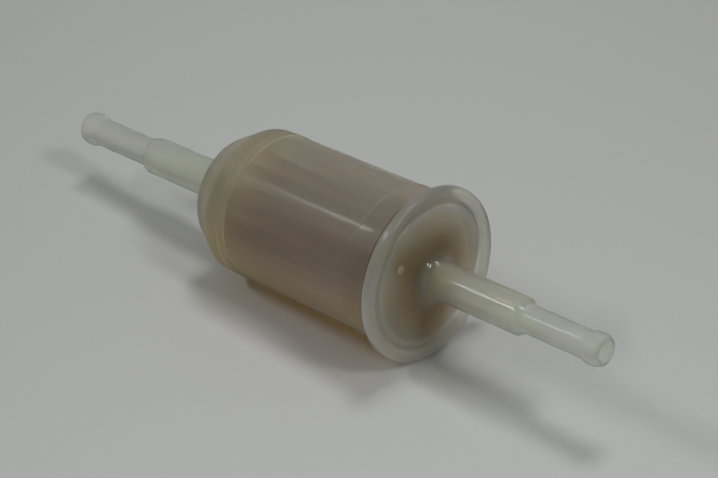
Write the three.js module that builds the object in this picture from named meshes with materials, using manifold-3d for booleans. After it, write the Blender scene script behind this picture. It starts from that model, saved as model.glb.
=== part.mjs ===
// In-line fuel filter with a moulded nylon housing, in millimetres, +Z up.
// The filter's axis is the X axis and the origin is the middle of the overall length.
// Fuel enters the stem at -X, passes through the pleated paper from outside to inside,
// and leaves by the stem at +X.
import * as THREE from "three";
import { mergeVertices } from "three/addons/utils/BufferGeometryUtils.js";
import Module from "manifold-3d";

// ---- driving dimensions ----
const LENGTH = 144.6; // tip to tip
const FLANGE_X = 26.0; // middle plane of the cover's flange
const GAP = 0.3; // clearance between neighbouring pieces
const SEGMENTS = 40; // sides of the large turned pieces

// hose stems, the same on both ends; places are distances from the tip
const STEM = {
  thickR: 4.0,
  thinR: 3.0,
  beadR: 3.5,
  tipR: 2.55,
  boreR: 2.0,
  rootBoreR: 2.6,
  nose: 2.2,
  crest: 0.6,
  ramp: 2.2,
  thinEnd: 19.2,
  thickStart: 20.9,
};

// housing body: a cup with a conical shoulder
const WALL = 1.6;
const BODY_OPEN_R = 16.28;
const BODY_FAR_R = 15.75;
const SHOULDER_X = FLANGE_X - 46.8;
const SHOULDER_EDGE = 0.9;
const END_FACE_X = FLANGE_X - 54.0;
const END_FACE_R = 11.5;
const COLLAR_R = 17.1;
const COLLAR_LENGTH = 1.0;
const RING_HEIGHT = 0.16;
const RING_WIDTH = 0.5;
const RINGS_X = [FLANGE_X - 44.2, FLANGE_X - 42.1, FLANGE_X - 8.6];

// cover: flange, sunk face, skirt and spigot
const FLANGE_R = 18.75;
const FLANGE_HALF = 1.3;
const FLANGE_EDGE = 0.9;
const FLANGE_BACK_X = FLANGE_X - FLANGE_HALF;
const FACE_R = 15.4;
const FACE_SINK = 0.7;
const FACE_RISE = 2.0;
const SKIRT_R = 14.2;
const SKIRT_WALL = 1.3;
const SKIRT_LENGTH = 1.8;
const SPIGOT_R = 4.35;
const SPIGOT_END_X = FLANGE_X - 6.3;
const PIP = { r: 0.8, height: 0.35, at: 11.0, angle: -57 };
const COLLAR_FRONT_X = FLANGE_BACK_X - GAP;

// filter element
const PLEATS = 44;
const PAPER = 0.28;
const PLEAT_OUT_R = 13.0;
const PLEAT_IN_R = 7.2;
const PAPER_FROM = FLANGE_X - 40.8;
const PAPER_TO = FLANGE_X - 6.5;
const CAP_R = 13.8;
const CAP_PLATE = 1.0;
const CAP_LIP = 0.5;
const CAP_LIP_DEPTH = 0.6;
const INLET_CAP_X = FLANGE_X - 43.9;
const OUTLET_CAP_X = FLANGE_X - 3.4;
const CORE_R = 6.0;
const CORE_WALL = 0.8;
const SEAL_R = 5.35;
const SEAL_CORD_R = 0.7;
const NECK_R = 6.35;
const NECK_LENGTH = 1.9;

const wasm = await Module();
wasm.setup();

const filter = new THREE.Group();

function add(name, geometry, color, roughness, metalness = 0) {
  const material = new THREE.MeshStandardMaterial({ color, roughness, metalness });
  const mesh = new THREE.Mesh(geometry, material);
  mesh.name = name;
  filter.add(mesh);
}

// A profile of [radius, x] points turned about the X axis. With the radius to the right
// and x upwards the points run anticlockwise, so the faces point out. A profile that
// starts on the axis ends on it, and any other closes on itself.
function turned(profile, segments = SEGMENTS) {
  const points = profile.map(([r, x]) => new THREE.Vector2(r, x));
  if (points[0].x > 0) points.push(points[0].clone());
  const geometry = new THREE.LatheGeometry(points, segments);
  geometry.rotateZ(-Math.PI / 2);
  return geometry;
}

// Points of an arc about [r, x], between two angles in degrees.
function arc(r, x, radius, from, to, steps = 4) {
  return Array.from({ length: steps + 1 }, (_, i) => {
    const a = THREE.MathUtils.degToRad(from + ((to - from) * i) / steps);
    return [r + radius * Math.cos(a), x + radius * Math.sin(a)];
  });
}

function solid(geometry) {
  const plain = geometry.index ? geometry.toNonIndexed() : geometry.clone();
  plain.deleteAttribute("normal");
  plain.deleteAttribute("uv");
  const merged = mergeVertices(plain, 1e-4);
  return new wasm.Manifold(
    new wasm.Mesh({
      numProp: 3,
      vertProperties: merged.attributes.position.array,
      triVerts: new Uint32Array(merged.index.array),
    }),
  );
}

function geometryOf(body) {
  const { vertProperties, triVerts } = body.getMesh();
  const geometry = new THREE.BufferGeometry();
  geometry.setAttribute("position", new THREE.BufferAttribute(vertProperties, 3));
  geometry.setIndex(new THREE.BufferAttribute(triVerts, 1));
  geometry.computeVertexNormals();
  return geometry;
}

// ---- hose stem ----
// Outside of a stem as [radius, distance from the tip]: rounded nose, bead, slope behind
// the bead, thin stretch, and a chamfer up to the thick stretch.
function stemOutside() {
  const nose = Array.from({ length: 6 }, (_, i) => {
    const a = (i / 5) * (Math.PI / 2);
    const r = STEM.tipR + (STEM.beadR - STEM.tipR) * Math.sin(a);
    return [r, STEM.nose * (1 - Math.cos(a))];
  });
  const slope = Array.from({ length: 5 }, (_, i) => {
    const blend = (1 + Math.cos((i / 4) * Math.PI)) / 2;
    const r = STEM.thinR + (STEM.beadR - STEM.thinR) * blend;
    return [r, STEM.nose + STEM.crest + (STEM.ramp * i) / 4];
  });
  return [
    [STEM.boreR, 0],
    ...nose,
    ...slope,
    [STEM.thinR, STEM.thinEnd],
    [STEM.thickR - 0.2, STEM.thickStart - 0.4],
    [STEM.thickR, STEM.thickStart],
  ];
}

// ---- housing body: cup, shoulder and inlet stem in one moulding ----
function bodyRadius(x) {
  const u = (x - SHOULDER_X) / (COLLAR_FRONT_X - SHOULDER_X);
  return BODY_FAR_R + (BODY_OPEN_R - BODY_FAR_R) * u;
}

function ring(x) {
  const half = RING_WIDTH / 2;
  const crest = bodyRadius(x) + RING_HEIGHT;
  return [
    [bodyRadius(x - half), x - half],
    [crest, x - half / 2],
    [crest, x + half / 2],
    [bodyRadius(x + half), x + half],
  ];
}

function bodyShell() {
  const tip = -LENGTH / 2;
  const fillet = 1.2;
  const edge = SHOULDER_EDGE;
  const collarBack = COLLAR_FRONT_X - COLLAR_LENGTH;
  return turned([
    ...stemOutside().map(([r, d]) => [r, tip + d]),
    ...arc(STEM.thickR + fillet, END_FACE_X - fillet, fillet, 180, 90),
    ...arc(END_FACE_R - edge, END_FACE_X + edge, edge, -90, -33, 3),
    [BODY_FAR_R - 0.3, SHOULDER_X - edge],
    [BODY_FAR_R, SHOULDER_X],
    ...RINGS_X.flatMap(ring),
    [bodyRadius(collarBack), collarBack],
    [COLLAR_R, collarBack],
    [COLLAR_R, COLLAR_FRONT_X],
    [BODY_OPEN_R - WALL, COLLAR_FRONT_X],
    [BODY_FAR_R - WALL, SHOULDER_X],
    [END_FACE_R - WALL, END_FACE_X + WALL],
    [STEM.rootBoreR, END_FACE_X + WALL],
    [STEM.rootBoreR, tip + STEM.thickStart + 2],
    [STEM.boreR, tip + STEM.thickStart],
  ]);
}
add("body_shell", bodyShell(), 0xb9b596, 0.35);

// ---- cover: flange, sunk face and outlet stem in one moulding ----
function coverShell() {
  const tip = LENGTH / 2;
  const front = FLANGE_X + FLANGE_HALF;
  const edge = FLANGE_R - FLANGE_EDGE;
  const sunk = front - FACE_SINK;
  const root = sunk + FACE_RISE;
  const fillet = 1.0;
  const inside = FLANGE_BACK_X + GAP;
  const skirtEnd = FLANGE_BACK_X - SKIRT_LENGTH;
  const body = turned([
    [STEM.rootBoreR, SPIGOT_END_X],
    [SPIGOT_R, SPIGOT_END_X],
    [SPIGOT_R, inside + 1],
    [SKIRT_R - SKIRT_WALL, inside],
    [SKIRT_R - SKIRT_WALL, skirtEnd],
    [SKIRT_R - 0.3, skirtEnd],
    [SKIRT_R, skirtEnd + 0.6],
    [SKIRT_R, FLANGE_BACK_X],
    ...arc(edge, FLANGE_BACK_X + FLANGE_EDGE, FLANGE_EDGE, -90, 0),
    ...arc(edge, front - FLANGE_EDGE, FLANGE_EDGE, 0, 90),
    [FACE_R + 1.5, front],
    [FACE_R + 1.3, sunk + 0.1],
    [FACE_R, sunk],
    ...arc(STEM.thickR + fillet, root + fillet, fillet, 270, 180),
    ...stemOutside().map(([r, d]) => [r, tip - d]).reverse(),
    [STEM.boreR, tip - STEM.thickStart],
    [STEM.rootBoreR, tip - STEM.thickStart - 2],
  ]);
  const slope = FACE_RISE / (FACE_R - STEM.thickR - fillet);
  const faceX = sunk + (FACE_R - PIP.at) * slope;
  const buried = 1.2;
  const pip = new THREE.CylinderGeometry(PIP.r, PIP.r, PIP.height + buried, 16);
  pip.rotateZ(-Math.PI / 2);
  pip.translate(faceX + (PIP.height - buried) / 2, 0, PIP.at);
  pip.rotateX(THREE.MathUtils.degToRad(-PIP.angle));
  return geometryOf(solid(body).add(solid(pip)));
}
add("cover_shell", coverShell(), 0xb9b596, 0.35);

// ---- pleated paper: one closed band, folded lengthwise ----
// Each fold has a narrow flat at its crest and its valley, so the wall keeps its
// thickness all the way round.
function pleatedPaper() {
  const fold = Math.PI / PLEATS;
  const polar = (r, a) => new THREE.Vector2(r * Math.cos(a), r * Math.sin(a));
  const zigzag = (crestR, crestHalf, valleyR, valleyHalf) =>
    Array.from({ length: PLEATS }, (_, i) => [
      polar(crestR, 2 * i * fold - crestHalf),
      polar(crestR, 2 * i * fold + crestHalf),
      polar(valleyR, (2 * i + 1) * fold - valleyHalf),
      polar(valleyR, (2 * i + 1) * fold + valleyHalf),
    ]).flat();
  const crest = (PAPER + 0.12) / PLEAT_OUT_R;
  const valley = 0.08 / PLEAT_IN_R;
  const outline = new THREE.Shape(zigzag(PLEAT_OUT_R, crest, PLEAT_IN_R, valley));
  const inside = zigzag(
    PLEAT_OUT_R - PAPER,
    crest - PAPER / PLEAT_OUT_R,
    PLEAT_IN_R - PAPER,
    valley + PAPER / PLEAT_IN_R,
  );
  outline.holes.push(new THREE.Path(inside));
  const depth = PAPER_TO - PAPER_FROM;
  const band = new THREE.ExtrudeGeometry(outline, { depth, bevelEnabled: false });
  band.rotateY(Math.PI / 2);
  band.translate(PAPER_FROM, 0, 0);
  return band;
}
add("filter_paper", pleatedPaper(), 0x6b4a2c, 0.9);

// ---- seam clip: a folded strip over the crest where the paper's two ends meet ----
function seamClip() {
  const halfWidth = 1.05;
  const strip = 0.3;
  const top = PLEAT_OUT_R + GAP + strip;
  const low = top - 1.4;
  const shape = new THREE.Shape(
    [
      [low, -halfWidth],
      [top, -halfWidth],
      [top, halfWidth],
      [low, halfWidth],
      [low, halfWidth - strip],
      [top - strip, halfWidth - strip],
      [top - strip, strip - halfWidth],
      [low, strip - halfWidth],
    ].map(([r, side]) => new THREE.Vector2(r, side)),
  );
  const margin = 1;
  const depth = PAPER_TO - PAPER_FROM - 2 * margin;
  const clip = new THREE.ExtrudeGeometry(shape, { depth, bevelEnabled: false });
  clip.rotateY(Math.PI / 2);
  clip.translate(PAPER_FROM + margin, 0, 0);
  return clip;
}
add("paper_seam_clip", seamClip(), 0xc9c9c6, 0.4, 0.8);

// ---- perforated core tube inside the paper ----
function coreTube() {
  const from = INLET_CAP_X + CAP_PLATE + GAP;
  const to = OUTLET_CAP_X - CAP_PLATE - NECK_LENGTH - GAP;
  const inR = CORE_R - CORE_WALL / 2;
  const outR = CORE_R + CORE_WALL / 2;
  const profile = [
    [inR, from],
    [outR, from],
    [outR, to],
    [inR, to],
  ];
  const rows = 5;
  const columns = 4;
  let body = solid(turned(profile, 32));
  for (let row = 0; row < rows; row++) {
    for (let column = 0; column < columns; column++) {
      const hole = new THREE.CylinderGeometry(1.1, 1.1, 3, 8);
      hole.rotateX(Math.PI / 2);
      hole.translate(from + ((row + 1) * (to - from)) / (rows + 1), 0, CORE_R);
      hole.rotateX((2 * Math.PI * (column + (row % 2) / 2)) / columns);
      body = body.subtract(solid(hole));
    }
  }
  return geometryOf(body);
}
add("core_tube", coreTube(), 0xd8d5c4, 0.5);

// ---- end caps: trays that hold the paper's ends ----
// The closed cap has a centring boss for the core tube and three fins that keep the
// element clear of the housing's shoulder, so that fuel can flow round it.
function inletCap() {
  const face = INLET_CAP_X;
  const inside = face + CAP_PLATE;
  const boss = CORE_R - CORE_WALL / 2 - GAP;
  let cap = solid(
    turned(
      [
        [0, face],
        [CAP_R - 0.3, face],
        [CAP_R, face + 0.3],
        [CAP_R, inside + CAP_LIP_DEPTH],
        [CAP_R - CAP_LIP, inside + CAP_LIP_DEPTH],
        [CAP_R - CAP_LIP, inside],
        [boss, inside],
        [boss, inside + 1.5],
        [0, inside + 1.5],
      ],
      32,
    ),
  );
  const finLength = 4.5;
  for (let i = 0; i < 3; i++) {
    const fin = new THREE.BoxGeometry(finLength + 0.5, 1, 4.5);
    fin.translate(face + 0.25 - finLength / 2, 0, 8.5);
    fin.rotateX((2 * Math.PI * i) / 3);
    cap = cap.add(solid(fin));
  }
  return geometryOf(cap);
}
add("inlet_end_cap", inletCap(), 0xcdc7a8, 0.5);

// The open cap has a neck that holds the seal and locates the core tube.
function outletCap() {
  const face = OUTLET_CAP_X;
  const inside = face - CAP_PLATE;
  const lipEnd = inside - CAP_LIP_DEPTH;
  return turned(
    [
      [NECK_R, inside - NECK_LENGTH],
      [NECK_R + 0.4, inside - NECK_LENGTH],
      [NECK_R + 0.4, inside],
      [CAP_R - CAP_LIP, inside],
      [CAP_R - CAP_LIP, lipEnd],
      [CAP_R, lipEnd],
      [CAP_R, face - 0.3],
      [CAP_R - 0.3, face],
      [SPIGOT_R + 0.5, face],
      [SPIGOT_R + 0.5, inside],
      [NECK_R, inside],
    ],
    32,
  );
}
add("outlet_end_cap", outletCap(), 0xcdc7a8, 0.5);

// ---- adhesive beds: the glue in each tray that the pleats stand in ----
function adhesive(from, to) {
  const profile = [
    [NECK_R + 0.7, from],
    [CAP_R - CAP_LIP - GAP, from],
    [CAP_R - CAP_LIP - GAP, to],
    [NECK_R + 0.7, to],
  ];
  return turned(profile, 24);
}
add("inlet_adhesive", adhesive(INLET_CAP_X + CAP_PLATE + GAP, PAPER_FROM - GAP), 0x9a7440, 0.6);
add("outlet_adhesive", adhesive(PAPER_TO + GAP, OUTLET_CAP_X - CAP_PLATE - GAP), 0x9a7440, 0.6);

// ---- seal ring between the outlet cap's neck and the cover's spigot ----
function sealRing() {
  const middle = OUTLET_CAP_X - CAP_PLATE - GAP - SEAL_CORD_R;
  return turned(arc(SEAL_R, middle, SEAL_CORD_R, 0, 315, 7), 28);
}
add("outlet_seal_ring", sealRing(), 0x1c1c1c, 0.8);

export default filter;
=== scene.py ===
# In-line fuel filter: a welded housing of milky nylon with a pleated paper element inside.
# The axis is X and the fuel flows towards +X. Sizes are given in millimetres and become
# metres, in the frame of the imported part, when a piece's mesh is made.
import math

import bmesh
import bpy
import numpy as np
from mathutils import Matrix, Vector


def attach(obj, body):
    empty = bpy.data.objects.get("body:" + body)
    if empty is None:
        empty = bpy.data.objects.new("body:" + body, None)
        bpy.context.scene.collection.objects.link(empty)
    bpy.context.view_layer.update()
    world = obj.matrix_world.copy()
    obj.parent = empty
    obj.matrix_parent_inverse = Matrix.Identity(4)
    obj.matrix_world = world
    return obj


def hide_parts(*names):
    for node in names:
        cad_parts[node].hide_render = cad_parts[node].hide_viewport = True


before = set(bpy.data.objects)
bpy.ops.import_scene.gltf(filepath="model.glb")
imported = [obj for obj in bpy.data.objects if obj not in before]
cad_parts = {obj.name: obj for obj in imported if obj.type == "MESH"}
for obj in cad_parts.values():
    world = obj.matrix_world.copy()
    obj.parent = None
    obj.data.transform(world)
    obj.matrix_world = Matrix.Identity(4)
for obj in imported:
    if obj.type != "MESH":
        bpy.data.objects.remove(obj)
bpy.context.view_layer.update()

scene = bpy.context.scene
MM = 0.001

# ---------------------------------------------------------------- board, camera and lamps
# A pale matt board under three soft lamps. The filter lies on the rim of its flange and on
# the edge of its shoulder, so the board is turned a little against the part's own XY plane.
FLANGE_X, FLANGE_R = 26.0, 18.75
SHOULDER_X, SHOULDER_R = -20.8, 15.75
AXIS_HEIGHT = 17.05
rest_tilt = math.atan2(FLANGE_R - SHOULDER_R, FLANGE_X - SHOULDER_X)
up = Vector((math.sin(rest_tilt), 0, math.cos(rest_tilt)))
lengthwise = Vector((up.z, 0, -up.x))
crosswise = Vector((0, 1, 0))


class Wire:
    """A shader socket in an expression: arithmetic on it adds Math nodes, in either order."""

    def __init__(self, look, socket):
        self.look, self.socket = look, socket

    def math(self, operation, *values):
        return self.look.node("ShaderNodeMath", {"operation": operation}, dict(enumerate(values)))

    def __add__(self, other):
        return self.math("ADD", self, other)

    def __sub__(self, other):
        return self.math("SUBTRACT", self, other)

    def __rsub__(self, other):
        return self.math("SUBTRACT", other, self)

    def __mul__(self, other):
        return self.math("MULTIPLY", self, other)

    def __abs__(self):
        return self.math("ABSOLUTE", self)

    def at_least(self, low):
        return self.math("MAXIMUM", self, low)

    __radd__, __rmul__ = __add__, __mul__


class Finish:
    """A node material round one Principled shader, whose constants sit on its own sockets."""

    def __init__(self, name, **constants):
        self.material = bpy.data.materials.new(name)
        self.material.use_nodes = True
        self.tree = self.material.node_tree
        self.shader = self.tree.nodes["Principled BSDF"]
        for socket, value in constants.items():
            self.shader.inputs[socket.replace("_", " ")].default_value = value

    def node(self, kind, settings=None, inputs=None, output=0):
        """Adds a node: its settings first, a ramp's stops among them, then values or wires."""
        made = self.tree.nodes.new(kind)
        for name, value in (settings or {}).items():
            if name == "stops":
                ramp = made.color_ramp.elements
                ramp.remove(ramp[1])
                ramp[0].position, ramp[0].color = value[0]
                for position, color in value[1:]:
                    ramp.new(position).color = color
            else:
                setattr(made, name, value)
        for socket, value in (inputs or {}).items():
            if isinstance(value, Wire):
                self.tree.links.new(value.socket, made.inputs[socket])
            else:
                made.inputs[socket].default_value = value
        return Wire(self, made.outputs[output])

    def place(self):
        """The point on the piece, in metres."""
        return self.node("ShaderNodeTexCoord", output=3)

    def coordinates(self, point):
        """The X, Y and Z of a point."""
        parts = self.node("ShaderNodeSeparateXYZ", {}, {0: point}).socket.node.outputs
        return [Wire(self, part) for part in parts]

    def rise(self, value, low, high):
        """0 below low and 1 above high, in millimetres, with a smooth step between them."""
        return self.node("ShaderNodeMapRange", {"interpolation_type": "SMOOTHSTEP"},
                         {0: value, 1: low * MM, 2: high * MM})

    def near(self, value, place, full, none):
        """1 up to the distance full from a place on an axis, and 0 beyond the distance none."""
        return 1 - self.rise(abs(value - place * MM), full, none)

    def spot(self, point, centre, size):
        """1 at a centre in millimetres, falling to 0 at half the size from it."""
        apart = self.node("ShaderNodeVectorMath", {"operation": "DISTANCE"},
                          {0: point, 1: [c * MM for c in centre]}, 1)
        return 1 - self.rise(apart, size * 0.15, size * 0.5)

    def noise(self, point, stretch, detail=2.0, roughness=0.5):
        """Noise from 0 to 1 on the point, stretched by so many waves per metre along X, Y, Z."""
        waves = self.node("ShaderNodeVectorMath", {"operation": "MULTIPLY"}, {0: point, 1: stretch})
        return self.node("ShaderNodeTexNoise", {}, {"Vector": waves, "Scale": 1.0, "Detail": detail,
                                                    "Roughness": roughness})

    def mix(self, share, first, second):
        """The first colour, and the second where the share is 1."""
        return self.node("ShaderNodeMix", {"data_type": "RGBA"}, {0: share, 6: first, 7: second}, 2)

    def along(self, value, stops):
        """A colour for each value in millimetres, blended evenly between the stops."""
        low, high = stops[0][0], stops[-1][0]
        share = self.node("ShaderNodeMapRange", {}, {0: value, 1: low * MM, 2: high * MM})
        ramp = [((at - low) / (high - low), (*color, 1)) for at, color in stops]
        return self.node("ShaderNodeValToRGB", {"stops": ramp}, {0: share})

    def scaled(self, color, factor):
        """The colour with all its channels multiplied by one factor."""
        return self.node("ShaderNodeVectorMath", {"operation": "SCALE"},
                         {0: color, "Scale": factor})

    def tinted(self, color, factors):
        """The colour with its channels multiplied by a factor each."""
        return self.node("ShaderNodeVectorMath", {"operation": "MULTIPLY"}, {0: color, 1: factors})

    def bump(self, height, strength, distance=0.0002):
        """A normal for a height from 0 to 1 that stands for the distance in metres."""
        return self.node("ShaderNodeBump", {},
                         {"Strength": strength, "Distance": distance, "Height": height})

    def feed(self, **wires):
        """Links wires to the shader's sockets of the same names."""
        for socket, wire in wires.items():
            self.tree.links.new(wire.socket, self.shader.inputs[socket.replace("_", " ")])


BOARD_HALF = 4.0  # metres
BOARD_CORNERS = (-1, -1), (1, -1), (1, 1), (-1, 1)
board_mesh = bpy.data.meshes.new("table")
board_mesh.from_pydata([up * (-AXIS_HEIGHT * MM) + lengthwise * (i * BOARD_HALF)
                        + crosswise * (j * BOARD_HALF) for i, j in BOARD_CORNERS],
                       [], [(0, 1, 2, 3)])
board = bpy.data.objects.new("table", board_mesh)
scene.collection.objects.link(board)

# Painted light: the board grows lighter towards +X and -Y and darker away from its
# diagonal, standing in for the fall-off of the lamps' light.
BOARD_COLOR = (0.605, 0.615, 0.60)
FALLOFF_MIDDLE, FALLOFF_BY_X, FALLOFF_BY_Y, FALLOFF_CURVE, FALLOFF_LEAST = 1.11, 0.83, 0.46, 4.5, 0.85
white_board = Finish("white_board", Roughness=0.8, Emission_Strength=1.0)
point = white_board.place()
x, y, _ = white_board.coordinates(point)
diagonal = x + y
tone = x * FALLOFF_BY_X - y * FALLOFF_BY_Y - diagonal * diagonal * FALLOFF_CURVE + FALLOFF_MIDDLE
fibres = white_board.noise(point, (900, 900, 900), 3.0) * 0.03 + 0.985
white_board.feed(Base_Color=white_board.scaled(BOARD_COLOR, tone.at_least(FALLOFF_LEAST) * fibres))

# Painted light: the board glows amber in a strip below the filter, inside a wider haze,
# standing in for light that has passed through the filter.
PAINTED_GLOW_COLOR = (0.052, 0.025, 0.0)
strip, haze = white_board.near(y, -1, 2, 12), white_board.near(y, -10, 3, 22)
glow_ends = white_board.rise(x, -24, -12) * (1 - white_board.rise(x, 20, 27))
painted_glow = (strip * 0.75 + haze * 0.25) * glow_ends
white_board.feed(Emission_Color=white_board.scaled(PAINTED_GLOW_COLOR, painted_glow))
board_mesh.materials.append(white_board.material)

EYE, AIM = Vector((433.4, -437.8, 372.6)) * MM, Vector((13.62, -6.38, 6.67)) * MM
forward = (AIM - EYE).normalized()
right = forward.cross(up).normalized()
above = right.cross(forward)
lens = bpy.data.cameras.new("camera")
lens.sensor_width, lens.lens = 36.0, 175.5
camera = bpy.data.objects.new("camera", lens)
camera.matrix_world = (Matrix.Translation(EYE)
                       @ Matrix((right, above, -forward)).transposed().to_4x4())
scene.collection.objects.link(camera)
scene.camera = camera
scene.view_settings.view_transform = "Standard"

LAMP_DISTANCE = 1.4  # metres


def softbox(name, towards, size, watts):
    """A rectangular area lamp in a direction from the part's middle, facing it."""
    light = bpy.data.lights.new(name, "AREA")
    light.shape = "RECTANGLE"
    light.size, light.size_y = size
    light.energy = watts
    lamp = bpy.data.objects.new(name, light)
    direction = Vector(towards).normalized()
    lamp.matrix_world = (Matrix.Translation(direction * LAMP_DISTANCE)
                         @ direction.to_track_quat("Z", "Y").to_matrix().to_4x4())
    scene.collection.objects.link(lamp)


softbox("overhead_panel", (-0.01, 0.245, 0.969), (0.32, 0.32), 4.0)
softbox("right_panel", (0.708, 0.0, 0.706), (0.25, 0.25), 3.1)
softbox("left_tube", (-0.50, -0.45, 0.737), (0.50, 0.06), 2.5)
world = bpy.data.worlds.new("room")
world.use_nodes = True
world.node_tree.nodes["Background"].inputs["Color"].default_value = (0.194, 0.196, 0.194, 1)
world.node_tree.nodes["Background"].inputs["Strength"].default_value = 1.0
scene.world = world


# ---------------------------------------------------------------- housing body
# The cup, its conical shoulder and the inlet stem are one injection moulding in natural
# nylon with a 1.6 mm wall. Its open end carries a collar that is welded to the cover. Fine
# raised rings run round it, and three plain pips stand on the shoulder.
def rounded(corners, steps=10):
    """A closed profile through corners given as (radius, x, rounding). A corner with a
    rounding q becomes an arc of radius q that is tangent to both of its sides: it starts
    q / tan(half the angle between the sides) before the corner and ends as far after it."""
    corners = np.array(corners, float)
    points = []
    for before, here, after in zip(np.roll(corners, 1, 0), corners, np.roll(corners, -1, 0)):
        corner, rounding = here[:2], here[2]
        if rounding == 0:
            points.append(corner[None])
            continue
        u, v = before[:2] - corner, after[:2] - corner
        u, v = u / np.hypot(*u), v / np.hypot(*v)
        half_angle = math.acos(np.clip(u @ v, -1, 1)) / 2
        middle = corner + (u + v) / np.hypot(*(u + v)) * rounding / math.sin(half_angle)
        start = corner + u * rounding / math.tan(half_angle) - middle
        end = corner + v * rounding / math.tan(half_angle) - middle
        turn = math.atan2(start[0] * end[1] - start[1] * end[0], start @ end)
        angle = math.atan2(start[1], start[0]) + np.linspace(0, turn, steps)
        points.append(middle + rounding * np.column_stack((np.cos(angle), np.sin(angle))))
    return np.concatenate(points)


def turned(profile, sides=192):
    """Points and faces of a closed profile carried round the X axis: the profile's point
    (r, x) at the angle a from +Z towards +Y is (x, r sin a, r cos a)."""
    r, x = profile[:, :1], profile[:, 1:]
    a = np.linspace(0, 2 * np.pi, sides, endpoint=False)[None]
    points = np.stack((x + 0 * a, r * np.sin(a), r * np.cos(a)), -1).reshape(-1, 3)
    i, j = np.meshgrid(np.arange(len(profile)), np.arange(sides), indexing="ij")
    k, m = (i + 1) % len(profile), (j + 1) % sides
    faces = np.stack((i * sides + j, k * sides + j, k * sides + m, i * sides + m), -1)
    return points, faces.reshape(-1, 4)


def piece(name, *bodies, sharp=35):
    """One mesh object from closed bodies, each given as points in millimetres, an array of
    four-sided faces and sometimes a list of end faces: coincident points are merged, the
    faces turned outwards, and edges over an angle in degrees kept sharp."""
    points, faces, first = [], [], 0
    for body_points, quads, *ends in bodies:
        points.append(body_points)
        faces += (quads + first).tolist() + [(end + first).tolist() for end in sum(ends, [])]
        first += len(body_points)
    mesh = bpy.data.meshes.new(name)
    mesh.from_pydata((np.concatenate(points) * MM).tolist(), [], faces)
    work = bmesh.new()
    work.from_mesh(mesh)
    bmesh.ops.remove_doubles(work, verts=work.verts, dist=1e-7)
    bmesh.ops.recalc_face_normals(work, faces=work.faces)
    work.to_mesh(mesh)
    work.free()
    mesh.shade_smooth()
    mesh.set_sharp_from_angle(angle=math.radians(sharp))
    made = bpy.data.objects.new(name, mesh)
    scene.collection.objects.link(made)
    return made


WALL = 1.6
TIP = -72.3
THICK_R, THIN_R, BEAD_R, NOSE_R = 4.0, 3.0, 3.5, 2.55
NOSE, CREST, RAMP, THIN_END, THICK_START = 2.2, 0.6, 2.2, 19.2, 20.9
BORE_R, ROOT_BORE_R, BORE_TAPER, MOUTH = 2.0, 2.6, 2, 0.25


def stem_outside():
    """(radius, distance from the tip) down the outside of a hose stem: a quarter-ellipse
    nose up to the bead, half a cosine down behind it, the thin run, and a rounded step."""
    a = np.linspace(0, np.pi / 2, 14)
    nose = np.column_stack((NOSE_R + (BEAD_R - NOSE_R) * np.sin(a), NOSE * (1 - np.cos(a))))
    u = np.linspace(0, 1, 14)
    slope = np.column_stack((THIN_R + (BEAD_R - THIN_R) * (1 + np.cos(np.pi * u)) / 2,
                             NOSE + CREST + RAMP * u))
    step = np.column_stack((THIN_R + (THICK_R - THIN_R) * (1 - np.cos(np.pi * u)) / 2,
                            THIN_END + (THICK_START - THIN_END) * u))
    return np.concatenate((nose, slope, step))


END_FACE_X, END_FACE_R = -28.0, 11.5
COLLAR_BACK_X, COLLAR_FRONT_X, COLLAR_R, BODY_OPEN_R = 23.4, 24.4, 17.1, 16.28
RINGS_X, RING_HEIGHT, RING_HALF, RING_TOP_HALF = (-18.2, -16.1, 17.4), 0.12, 0.3, 0.1


def body_radius(x):
    """The drafted wall: straight from the shoulder's radius to the open end's."""
    return SHOULDER_R + ((BODY_OPEN_R - SHOULDER_R) * (x - SHOULDER_X)
                         / (COLLAR_FRONT_X - SHOULDER_X))


ring_corners = [(body_radius(x + d) + height, x + d, 0.08)
                for x in RINGS_X
                for d, height in ((-RING_HALF, 0), (-RING_TOP_HALF, RING_HEIGHT),
                                  (RING_TOP_HALF, RING_HEIGHT), (RING_HALF, 0))]
stem = stem_outside() + (0, TIP)
body_profile = np.concatenate((stem, rounded([
    (THICK_R, stem[-1, 1], 0),
    (THICK_R, END_FACE_X, 1.2),
    (END_FACE_R, END_FACE_X, 0.7),
    (SHOULDER_R, SHOULDER_X - 0.3, 2.0),
    *ring_corners,
    (body_radius(COLLAR_BACK_X), COLLAR_BACK_X, 0.12),
    (COLLAR_R, COLLAR_BACK_X, 0.25),
    (COLLAR_R, COLLAR_FRONT_X, 0.15),
    (BODY_OPEN_R - WALL, COLLAR_FRONT_X, 0.15),
    (SHOULDER_R - WALL, SHOULDER_X, 1.0),
    (END_FACE_R - WALL, END_FACE_X + WALL, 0.5),
    (ROOT_BORE_R, END_FACE_X + WALL, 0.3),
    (ROOT_BORE_R, TIP + THICK_START + BORE_TAPER, 0),
    (BORE_R, TIP + THICK_START, 0),
    (BORE_R, TIP + MOUTH, 0),
    (BORE_R + MOUTH, TIP, 0),
])))


def on_circle(x, radius, azimuth):
    """The point (x, radius sin a, radius cos a), where a is the azimuth in degrees."""
    a = math.radians(azimuth)
    return x, radius * math.sin(a), radius * math.cos(a)


PIP_SUNK = 0.3


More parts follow.
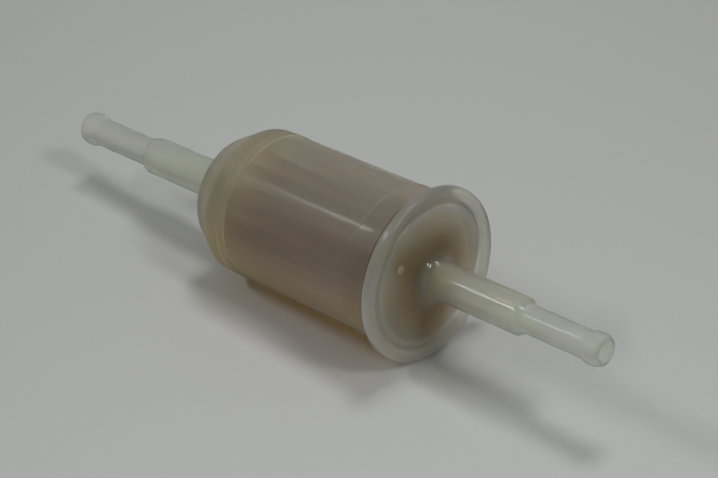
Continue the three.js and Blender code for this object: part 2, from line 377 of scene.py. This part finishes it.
def pip(x, radius, azimuth, lean, width, height):
    """A low dome on a turned surface. Its profile is (w cos a, h sin a), with w half the
    width, closed by a sunk base, and its axis leans by an angle in degrees from +X towards
    the radial direction."""
    a = np.linspace(0, np.pi / 2, 7)
    dome = np.column_stack((width / 2 * np.cos(a), height * np.sin(a)))
    points, faces = turned(np.concatenate((dome, [(0, -PIP_SUNK), (width / 2, -PIP_SUNK)])), 24)
    lean = math.radians(lean)
    axial, radial = np.array((1, 0, 0)), np.array(on_circle(0, 1, azimuth))
    normal = math.cos(lean) * axial + math.sin(lean) * radial
    slope = math.cos(lean) * radial - math.sin(lean) * axial
    points = points @ np.array((normal, np.cross(slope, normal), slope))
    return points + x * axial + radius * radial, faces


SHOULDER_LEAN, MARK_X, MARK_R, MARK_HEIGHT = 120.5, -25.7, 12.86, 0.35
MARKS = ((-40, 1.6), (-26, 1.3), (-9, 1.3))  # azimuth and width of each pip
marks = [pip(MARK_X, MARK_R, azimuth, SHOULDER_LEAN, width, MARK_HEIGHT)
         for azimuth, width in MARKS]
housing_body = piece("housing_body", turned(body_profile), *marks)


def natural_nylon(name, coat=0.25):
    """Milky nylon that lets most of the light through and scatters the rest."""
    return Finish(name, Roughness=0.3, IOR=1.2, Transmission_Weight=0.8, Specular_IOR_Level=1.0,
                  Subsurface_Weight=1.0, Subsurface_Radius=(1.0, 0.9, 0.7),
                  Subsurface_Scale=0.0015, Coat_Weight=coat, Coat_Roughness=0.10)


# The milky wall takes the paper's brown wherever the paper stands close behind it, so its
# tone follows X: pale on the stem, olive on the shoulder, brown on the cup. A pale line just
# before the collar is a painted highlight, and the collar is darkened with painted shade from
# the flange.
BEAD_TONE, FAR_TONE, ROOT_TONE = (0.84, 0.85, 0.80), (0.92, 0.93, 0.89), (0.90, 0.91, 0.84)
PAPER_TONE = (0.80, 0.72, 0.60)
BODY_TONES = (
    (TIP, BEAD_TONE), (TIP + 4, FAR_TONE), (TIP + THIN_END, FAR_TONE),
    (TIP + THICK_START, ROOT_TONE), (-29, ROOT_TONE),
    (-28, (0.74, 0.71, 0.57)), (-24, (0.76, 0.72, 0.57)), (-20.5, (0.71, 0.66, 0.51)),
    (-18.5, (0.68, 0.63, 0.49)), (-15, (0.86, 0.80, 0.63)), (-11, (0.85, 0.77, 0.62)),
    (-6, PAPER_TONE), (22.3, PAPER_TONE), (23.0, (0.86, 0.80, 0.68)),
    (COLLAR_BACK_X, (0.45, 0.37, 0.28)), (COLLAR_FRONT_X, (0.40, 0.32, 0.24)))
BOUNCE_LIGHT_TINT, TOP_LIGHT_TINT = (1.24, 1.15, 0.95), (1.05, 1.09, 1.11)
MARK_GLINT_COLOR = (1.0, 0.98, 0.93, 1)
RING_GLEAMS = (0.03, 0.05, 0.09)
STREAK_DEPTH, CLOUD_DEPTH, TOOLING_DEPTH = 0.44, 0.08, 0.10
body_nylon = natural_nylon("body_nylon")
point = body_nylon.place()
x, _, z = body_nylon.coordinates(point)
paper_behind = body_nylon.rise(x, -20, -13)
off_stem = body_nylon.rise(x, -30, -27)
tone = body_nylon.along(x, BODY_TONES)
# Painted light: the lower side is lightened and warmed for light thrown up from the board, and the
# top over the paper is lightened and cooled for light from above.
bounce_lit = (1 - body_nylon.rise(z, -10, 7)) * off_stem
tone = body_nylon.mix(bounce_lit, tone, body_nylon.tinted(tone, BOUNCE_LIGHT_TINT))
top_lit = body_nylon.rise(z, 9.5, 15) * paper_behind
tone = body_nylon.mix(top_lit, tone, body_nylon.tinted(tone, TOP_LIGHT_TINT))
# The shoulder's pips are painted near white: painted glints.
for azimuth, width in MARKS:
    mark_glint = body_nylon.spot(point, on_circle(MARK_X - 0.15, MARK_R, azimuth), width + 0.8)
    tone = body_nylon.mix(mark_glint, tone, MARK_GLINT_COLOR)
streaks = body_nylon.noise(point, (22, 560, 560), 3.0)
cloud = body_nylon.noise(point, (120, 160, 160))
# The rings' crests are lightened: painted highlights.
gleams = sum(body_nylon.near(x, ring_x, 0.12, 0.4) * gleam
             for ring_x, gleam in zip(RINGS_X, RING_GLEAMS))
on_shoulder = off_stem * (1 - body_nylon.rise(x, -17, -13))
tooling = body_nylon.noise(point, (1300, 8, 8)) * on_shoulder
light = ((streaks - 0.5) * paper_behind * STREAK_DEPTH + (cloud - 0.5) * CLOUD_DEPTH + gleams + 1
         + (tooling - 0.25) * TOOLING_DEPTH)
skin = body_nylon.noise(point, (700, 700, 700), 3.0)
cup_gloss = body_nylon.rise(x, -14, 16) * 0.42 - body_nylon.rise(x, 16.8, 18.2) * 0.24
stem_gloss = (1 - body_nylon.rise(x, -31, -28)) * 0.3
body_nylon.feed(
    Base_Color=body_nylon.scaled(tone, light),
    Roughness=skin * 0.08 + 0.56 - body_nylon.rise(x, -34, -28) * 0.28,
    Coat_Weight=cup_gloss + stem_gloss,
    Normal=body_nylon.bump(skin, 0.05))
housing_body.data.materials.append(body_nylon.material)
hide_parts("body_shell")
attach(housing_body, "root")

# ---------------------------------------------------------------- cover
# The flange, the conical face and the outlet stem are the second injection moulding, in the
# same nylon. A skirt and a spigot point into the housing; the flange's back is welded to the
# collar. The gate mark and two small bubbles at the stem's root are left from moulding.
FLANGE_HALF, FLANGE_EDGE = 1.3, 0.9
FACE_R, FACE_SINK, FACE_RISE = 15.4, 0.7, 2.0
SKIRT_R, SKIRT_WALL, SKIRT_LENGTH = 14.2, 1.3, 1.8
SPIGOT_R, SPIGOT_END_X = 4.35, 19.7
front_x, back_x = FLANGE_X + FLANGE_HALF, FLANGE_X - FLANGE_HALF
sunk_x = front_x - FACE_SINK
root_x = sunk_x + FACE_RISE
stem = (stem_outside() * (1, -1) + (0, -TIP))[::-1]
cover_profile = np.concatenate((stem, rounded([
    (BORE_R + MOUTH, -TIP, 0),
    (BORE_R, -TIP - MOUTH, 0),
    (BORE_R, -TIP - THICK_START, 0),
    (ROOT_BORE_R, -TIP - THICK_START - BORE_TAPER, 0),
    (ROOT_BORE_R, SPIGOT_END_X, 0.15),
    (SPIGOT_R, SPIGOT_END_X, 0.3),
    (SPIGOT_R, back_x + 1.2, 0.4),
    (SKIRT_R - SKIRT_WALL, back_x + 0.3, 0.3),
    (SKIRT_R - SKIRT_WALL, back_x - SKIRT_LENGTH, 0.2),
    (SKIRT_R, back_x - SKIRT_LENGTH, 0.5),
    (SKIRT_R, back_x, 0.1),
    (FLANGE_R, back_x, FLANGE_EDGE),
    (FLANGE_R, front_x, FLANGE_EDGE),
    (FACE_R + 1.5, front_x, 0.25),
    (FACE_R + 0.7, sunk_x + 0.1, 0.3),
    (FACE_R + 0.2, sunk_x + 0.02, 0.15),
    (FACE_R - 0.1, sunk_x + 0.3, 0.2),
    (FACE_R - 0.7, sunk_x + 0.3, 0.3),
    (FACE_R - 1.4, sunk_x + 0.1, 0.5),
    (THICK_R, root_x, 2.0),
    (THICK_R, stem[0, 1], 0),
])))
CONE_WIDTH = FACE_R - THICK_R - 1
FACE_LEAN = math.degrees(math.atan2(FACE_RISE, CONE_WIDTH))
GATE_R, GATE_AZIMUTH, GATE_WIDTH, GATE_HEIGHT = 11.0, -57, 2.1, 0.45
gate_x = sunk_x + FACE_RISE * (FACE_R - GATE_R) / CONE_WIDTH - 0.05
gate = pip(gate_x, GATE_R, GATE_AZIMUTH, FACE_LEAN, GATE_WIDTH, GATE_HEIGHT)
BUBBLES = ((28.65, 5.2, -31), (29.35, 4.35, -11))  # x, radius and azimuth
BUBBLE_LEAN, BUBBLE_WIDTH, BUBBLE_HEIGHT = 45, 0.9, 0.4
bubbles = [pip(*bubble, BUBBLE_LEAN, BUBBLE_WIDTH, BUBBLE_HEIGHT) for bubble in BUBBLES]
cover = piece("cover", turned(cover_profile), gate, *bubbles)

# The face's tone follows the radius and the stem's follows X. The brown element shows through
# the thin face. The face is darkened round the stem's root with painted shade, and the groove
# round the face is painted darker than the rim as shade; the pale band just inside the groove
# is partly a painted highlight.
THIN_TONE, THICK_TONE = (0.91, 0.92, 0.88), (0.88, 0.89, 0.81)
COVER_STEM_TONES = (
    (27.5, (0.78, 0.74, 0.58)), (31, (0.82, 0.80, 0.69)), (38, THICK_TONE),
    (-TIP - THICK_START, THICK_TONE), (-TIP - THIN_END, THIN_TONE), (-TIP - 4, THIN_TONE),
    (-TIP, BEAD_TONE))
FACE_TONES = (
    (4, (0.80, 0.76, 0.62)), (5.0, (0.70, 0.63, 0.47)), (6.6, (0.56, 0.45, 0.27)),
    (9, (0.68, 0.57, 0.38)), (11.5, (0.79, 0.73, 0.57)), (13.4, (0.85, 0.82, 0.69)),
    (14.2, (0.95, 0.95, 0.86)), (15.2, (0.95, 0.95, 0.87)), (15.7, (0.76, 0.75, 0.66)),
    (16.5, (0.84, 0.84, 0.75)), (17.0, (0.85, 0.85, 0.77)), (18.8, (0.87, 0.87, 0.81)))
# Painted light and shade on the face, in order: the stem's shadow below its root, shade beside the
# root in two patches, and light on the top of the face.
LIGHT_AND_SHADE_PATCHES = (  # centre, size and tint
    ((27.8, -0.5, -10), 14, (0.74, 0.60, 0.38)), ((28, 2.5, 5.5), 9, (0.84, 0.78, 0.66)),
    ((27.8, -7.5, 6.5), 10, (0.92, 0.85, 0.66)), ((27.5, 5, 13.5), 18, (1.16, 1.15, 1.14)))
GATE_HIGHLIGHT_COLOR, BUBBLE_GLINT_COLOR = (0.88, 0.80, 0.66, 1), (1.0, 1.0, 1.0, 1)
cover_nylon = natural_nylon("cover_nylon", 0.5)
point = cover_nylon.place()
x, y, z = cover_nylon.coordinates(point)
radius = cover_nylon.node("ShaderNodeVectorMath", {"operation": "LENGTH"},
                          {0: cover_nylon.tinted(point, (0, 1, 1))}, 1)
tone = cover_nylon.mix(cover_nylon.rise(radius, 4.1, 5.2),
                       cover_nylon.along(x, COVER_STEM_TONES),
                       cover_nylon.along(radius, FACE_TONES))
for centre, size, tint in LIGHT_AND_SHADE_PATCHES:
    tone = cover_nylon.mix(cover_nylon.spot(point, centre, size), tone,
                           cover_nylon.tinted(tone, tint))
# The gate mark is painted paler and each bubble white: painted highlights, with glints from a share
# of Metallic.
gate_dot = cover_nylon.spot(point, on_circle(gate_x + 0.3, GATE_R, GATE_AZIMUTH), GATE_WIDTH + 0.6)
tone = cover_nylon.mix(gate_dot * 0.8, tone, GATE_HIGHLIGHT_COLOR)
glints = gate_dot * 0.06
for bubble_x, bubble_r, azimuth in BUBBLES:
    dot = cover_nylon.spot(point, on_circle(bubble_x + 0.2, bubble_r, azimuth), 1.3)
    tone, glints = cover_nylon.mix(dot, tone, BUBBLE_GLINT_COLOR), dot * 0.7 + glints
# Painted light: the rim's lower left is lightened in the base colour, and it and the top of the
# face get a painted sheen from a share of Metallic.
rim = cover_nylon.rise(radius, 14.5, 16.5)
painted_rim_light = (y * 0.8 + z * 0.6) * rim * -8.0
face_top_sheen = cover_nylon.rise(radius, 8, 13.5) * cover_nylon.rise(z, -4, 13) * (1 - rim)
painted_sheen = (painted_rim_light * 4.0 - 0.12).at_least(0) + face_top_sheen * 0.45
cloud = cover_nylon.noise(point, (110, 110, 110))
turning = cover_nylon.noise(cover_nylon.node("ShaderNodeCombineXYZ", {}, {0: radius}), (1500, 1, 1))
light = (cloud - 0.5) * 0.20 + (turning - 0.5) * rim * 0.30 + painted_rim_light + 1
skin = cover_nylon.noise(point, (700, 700, 700), 3.0)
cover_nylon.feed(
    Base_Color=cover_nylon.scaled(tone, light),
    Metallic=glints + painted_sheen * 0.28,
    Roughness=skin * 0.08 + 0.28 + cover_nylon.rise(x, 30, 36) * 0.34,
    Normal=cover_nylon.bump(skin + turning * rim * 2, 0.08))
cover.data.materials.append(cover_nylon.material)
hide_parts("cover_shell")
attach(cover, "root")

# ---------------------------------------------------------------- pleated paper
# One long strip of brown, resin-treated filter paper, folded into 44 pleats, cured in an oven
# and closed to a ring. Both of its ends are sunk in adhesive inside the end caps.
PLEATS, PAPER = 44, 0.28
PLEAT_OUT_R, PLEAT_IN_R = 13.0, 7.2
PAPER_FROM, PAPER_TO = -14.8, 19.5
FOLD_ROUNDING = 0.985


def pleats(per_pleat=24, stations=14):
    """A folded band: its middle line has the radius of a rounded triangle wave in the angle,
    44 times round, and the two faces lie half a thickness to either side of it."""
    u = np.arange(PLEATS * per_pleat) / per_pleat
    wave = np.arcsin(FOLD_ROUNDING * np.cos(2 * np.pi * u)) / np.arcsin(FOLD_ROUNDING)
    r = (PLEAT_OUT_R + PLEAT_IN_R) / 2 + wave * ((PLEAT_OUT_R - PLEAT_IN_R) / 2 - PAPER / 2)
    a = 2 * np.pi * u / PLEATS
    line = np.column_stack((r * np.sin(a), r * np.cos(a)))
    tangent = np.roll(line, -1, 0) - np.roll(line, 1, 0)
    normal = np.column_stack((-tangent[:, 1], tangent[:, 0]))
    normal /= np.hypot(*normal.T)[:, None]
    x = np.linspace(PAPER_FROM, PAPER_TO, stations)
    outer, inner = line + normal * PAPER / 2, line - normal * PAPER / 2
    rows = [np.column_stack((np.full(len(line), at), side))
            for side, places in ((outer, x), (inner, x[::-1])) for at in places]
    n, m = len(rows), len(line)
    i, j = np.meshgrid(np.arange(n), np.arange(m), indexing="ij")
    k, q = (i + 1) % n, (j + 1) % m
    faces = np.stack((i * m + j, k * m + j, k * m + q, i * m + q), -1)
    return np.concatenate(rows), faces.reshape(-1, 4)


pleated_paper = piece("pleated_paper", pleats(), sharp=50)
PAPER_DARK, PAPER_LIGHT = (0.24, 0.10, 0.035, 1), (0.36, 0.17, 0.07, 1)
brown_paper = Finish("filter_paper")
point = brown_paper.place()
fibres = brown_paper.noise(point, (900, 2200, 2200), 6.0, 0.65)
resin = brown_paper.noise(point, (70, 120, 120))
tone = brown_paper.mix(fibres, PAPER_DARK, PAPER_LIGHT)
brown_paper.feed(
    Base_Color=brown_paper.scaled(tone, resin * 0.4 + 0.8),
    Roughness=fibres * 0.2 + 0.72,
    Normal=brown_paper.bump(fibres, 0.5, 0.0001))
pleated_paper.data.materials.append(brown_paper.material)
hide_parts("filter_paper")
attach(pleated_paper, "root")

# ---------------------------------------------------------------- seam clip
# A strip of tinplate, drawn and cut to length, folded into a channel and pinched over the
# crest where the two ends of the paper meet, so that the ring can't open under pressure.
GAP = 0.3  # clearance between neighbouring pieces
CLIP_HALF, CLIP_DEPTH, CLIP_INSET, STRIP = 1.05, 1.4, 1, 0.3
CLIP_TOP = PLEAT_OUT_R + GAP + STRIP
CLIP_LOW = CLIP_TOP - CLIP_DEPTH


def bar(outline, x_from, x_to, edge=0.05, steps=4):
    """A closed outline of (side, radius) points carried along X. Each end is rounded: the
    outline shrinks along its normals by edge (1 - sin a) while X moves by edge (1 - cos a)."""
    tangent = np.roll(outline, -1, 0) - np.roll(outline, 1, 0)
    normal = np.column_stack((tangent[:, 1], -tangent[:, 0])) / np.hypot(*tangent.T)[:, None]
    a = np.linspace(0, np.pi / 2, steps)
    inset = edge * np.concatenate((1 - np.sin(a), (1 - np.sin(a))[::-1]))
    x = np.concatenate((x_from + edge * (1 - np.cos(a)), (x_to - edge * (1 - np.cos(a)))[::-1]))
    flat = outline[None] - normal[None] * inset[:, None, None]
    n, m = len(x), len(outline)
    points = np.concatenate((np.broadcast_to(x[:, None, None], (n, m, 1)), flat), -1)
    i, j = np.meshgrid(np.arange(n - 1), np.arange(m), indexing="ij")
    q = (j + 1) % m
    walls = np.stack((i * m + j, i * m + q, (i + 1) * m + q, (i + 1) * m + j), -1)
    return points.reshape(-1, 3), walls.reshape(-1, 4), [np.arange(m), np.arange(m) + (n - 1) * m]


channel = rounded([
    (-CLIP_HALF, CLIP_LOW, 0.05), (-CLIP_HALF, CLIP_TOP, 0.25), (CLIP_HALF, CLIP_TOP, 0.25),
    (CLIP_HALF, CLIP_LOW, 0.05), (CLIP_HALF - STRIP, CLIP_LOW, 0.05),
    (CLIP_HALF - STRIP, CLIP_TOP - STRIP, 0.1), (STRIP - CLIP_HALF, CLIP_TOP - STRIP, 0.1),
    (STRIP - CLIP_HALF, CLIP_LOW, 0.05)], 5)
seam_clip = piece("seam_clip", bar(channel, PAPER_FROM + CLIP_INSET, PAPER_TO - CLIP_INSET))
TIN_DARK, TIN_LIGHT = (0.42, 0.41, 0.38, 1), (0.62, 0.62, 0.60, 1)
tinplate = Finish("tinplate", Metallic=1.0)
point = tinplate.place()
drawn = tinplate.noise(point, (60, 3000, 3000), 3.0)
spangle = tinplate.noise(point, (500, 500, 500), 1.0)
tone = tinplate.mix(spangle, TIN_DARK, TIN_LIGHT)
tinplate.feed(
    Base_Color=tinplate.scaled(tone, drawn * 0.2 + 0.85),
    Roughness=drawn * 0.25 + 0.25,
    Normal=tinplate.bump(drawn, 0.15, 0.00005))
seam_clip.data.materials.append(tinplate.material)
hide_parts("paper_seam_clip")
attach(seam_clip, "root")

# ---------------------------------------------------------------- end caps and core tube
# Three mouldings in matt brown plastic. The inlet cap is a closed dish with three fins that
# hold it off the shoulder; the outlet cap has a neck for the cover's spigot; the perforated
# core tube stands between them and keeps the paper from folding inwards.
CAP_R, CAP_PLATE, CAP_LIP, CAP_LIP_DEPTH = 13.8, 1.0, 0.5, 0.6
INLET_CAP_X, OUTLET_CAP_X = -17.9, 22.6
CORE_R, CORE_WALL = 6.0, 0.8
BOSS_R, BOSS_HEIGHT = CORE_R - CORE_WALL / 2 - GAP, 1.5
inlet_inside = INLET_CAP_X + CAP_PLATE
inlet_profile = rounded([
    (0, INLET_CAP_X, 0), (CAP_R, INLET_CAP_X, 0.3), (CAP_R, inlet_inside + CAP_LIP_DEPTH, 0.12),
    (CAP_R - CAP_LIP, inlet_inside + CAP_LIP_DEPTH, 0.12), (CAP_R - CAP_LIP, inlet_inside, 0.2),
    (BOSS_R, inlet_inside, 0.2), (BOSS_R, inlet_inside + BOSS_HEIGHT, 0.3),
    (0, inlet_inside + BOSS_HEIGHT, 0)], 6)
FIN_LENGTH, FIN_HALF, FIN_FROM_R, FIN_TO_R, FIN_EDGE = 4.5, 0.5, 6.25, 10.75, 0.3
fin_outline = rounded([(-FIN_HALF, FIN_FROM_R, FIN_EDGE), (-FIN_HALF, FIN_TO_R, FIN_EDGE),
                       (FIN_HALF, FIN_TO_R, FIN_EDGE), (FIN_HALF, FIN_FROM_R, FIN_EDGE)], 5)
fin, fin_walls, fin_ends = bar(fin_outline, INLET_CAP_X - FIN_LENGTH, INLET_CAP_X + 0.2, FIN_EDGE)
fins = []
for turn in np.radians((0, 120, 240)):
    spin = np.array([[1, 0, 0], [0, np.cos(turn), np.sin(turn)], [0, -np.sin(turn), np.cos(turn)]])
    fins.append((fin @ spin.T, fin_walls, fin_ends))
inlet_cap = piece("inlet_cap", turned(inlet_profile, 96), *fins)
CAP_DARK, CAP_LIGHT = (0.27, 0.19, 0.09, 1), (0.37, 0.27, 0.14, 1)
cap_plastic = Finish("cap_plastic")
point = cap_plastic.place()
flow = cap_plastic.noise(point, (150, 90, 90), 3.0)
grain = cap_plastic.noise(point, (2500, 2500, 2500), 3.0)
cap_plastic.feed(
    Base_Color=cap_plastic.mix(flow, CAP_DARK, CAP_LIGHT),
    Roughness=grain * 0.2 + 0.42,
    Normal=cap_plastic.bump(grain, 0.2, 0.00005))
inlet_cap.data.materials.append(cap_plastic.material)
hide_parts("inlet_end_cap")
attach(inlet_cap, "root")

NECK_R, NECK_WALL, NECK_LENGTH = 6.35, 0.4, 1.9
CAP_HOLE_R = SPIGOT_R + 0.5
outlet_inside = OUTLET_CAP_X - CAP_PLATE
outlet_profile = rounded([
    (NECK_R, outlet_inside - NECK_LENGTH, 0.1),
    (NECK_R + NECK_WALL, outlet_inside - NECK_LENGTH, 0.1),
    (NECK_R + NECK_WALL, outlet_inside, 0.2), (CAP_R - CAP_LIP, outlet_inside, 0.2),
    (CAP_R - CAP_LIP, outlet_inside - CAP_LIP_DEPTH, 0.12),
    (CAP_R, outlet_inside - CAP_LIP_DEPTH, 0.12), (CAP_R, OUTLET_CAP_X, 0.3),
    (CAP_HOLE_R, OUTLET_CAP_X, 0.15), (CAP_HOLE_R, outlet_inside, 0.15),
    (NECK_R, outlet_inside, 0.15)], 6)
outlet_cap = piece("outlet_cap", turned(outlet_profile, 96))
outlet_cap.data.materials.append(cap_plastic.material)
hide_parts("outlet_end_cap")
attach(outlet_cap, "root")

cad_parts["core_tube"].data.materials.clear()
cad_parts["core_tube"].data.materials.append(cap_plastic.material)

# ---------------------------------------------------------------- adhesive
# Two rings of amber potting adhesive, poured into the caps and cured with the paper standing
# in them. They hold the element together and close the ends of the pleats.
GLUE_IN_R, GLUE_OUT_R, GLUE_EDGE = NECK_R + 0.7, CAP_R - CAP_LIP - GAP, 0.3
GLUE_DARK, GLUE_LIGHT = (0.28, 0.13, 0.04, 1), (0.46, 0.26, 0.10, 1)
amber_glue = Finish("amber_adhesive", Coat_Weight=0.3)
point = amber_glue.place()
pooled = amber_glue.noise(point, (220, 220, 220), 3.0)
froth = amber_glue.noise(point, (1600, 1600, 1600), 1.0)
amber_glue.feed(
    Base_Color=amber_glue.mix(pooled, GLUE_DARK, GLUE_LIGHT),
    Roughness=froth * 0.25 + 0.25,
    Normal=amber_glue.bump(pooled + froth * 0.4, 0.4))
for name, x_from, x_to, node in (
        ("inlet_glue", inlet_inside + GAP, PAPER_FROM - GAP, "inlet_adhesive"),
        ("outlet_glue", PAPER_TO + GAP, outlet_inside - GAP, "outlet_adhesive")):
    glue_profile = rounded([(GLUE_IN_R, x_from, GLUE_EDGE), (GLUE_OUT_R, x_from, GLUE_EDGE),
                            (GLUE_OUT_R, x_to, GLUE_EDGE), (GLUE_IN_R, x_to, GLUE_EDGE)], 6)
    glue = piece(name, turned(glue_profile, 96))
    glue.data.materials.append(amber_glue.material)
    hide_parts(node)
    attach(glue, "root")

# ---------------------------------------------------------------- seal
# A moulded ring of black, fuel-proof rubber between the cover's spigot and the outlet cap's
# neck. It is held only by its squeeze, and parts the dirty side from the clean side.
SEAL_R, SEAL_CORD_R = 5.35, 0.7
seal_x = outlet_inside - GAP - SEAL_CORD_R
a = np.linspace(0, 2 * np.pi, 24, endpoint=False)
seal_profile = np.column_stack((SEAL_R + SEAL_CORD_R * np.cos(a), seal_x + SEAL_CORD_R * np.sin(a)))
seal = piece("seal_ring", turned(seal_profile, 96))
RUBBER_DARK, RUBBER_LIGHT = (0.016, 0.016, 0.017, 1), (0.045, 0.044, 0.042, 1)
rubber = Finish("black_rubber")
point = rubber.place()
bloom = rubber.noise(point, (400, 400, 400), 3.0)
grit = rubber.noise(point, (4000, 4000, 4000))
rubber.feed(
    Base_Color=rubber.mix(bloom, RUBBER_DARK, RUBBER_LIGHT),
    Roughness=grit * 0.2 + 0.5,
    Normal=rubber.bump(grit, 0.25, 0.00005))
seal.data.materials.append(rubber.material)
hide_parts("outlet_seal_ring")
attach(seal, "root")
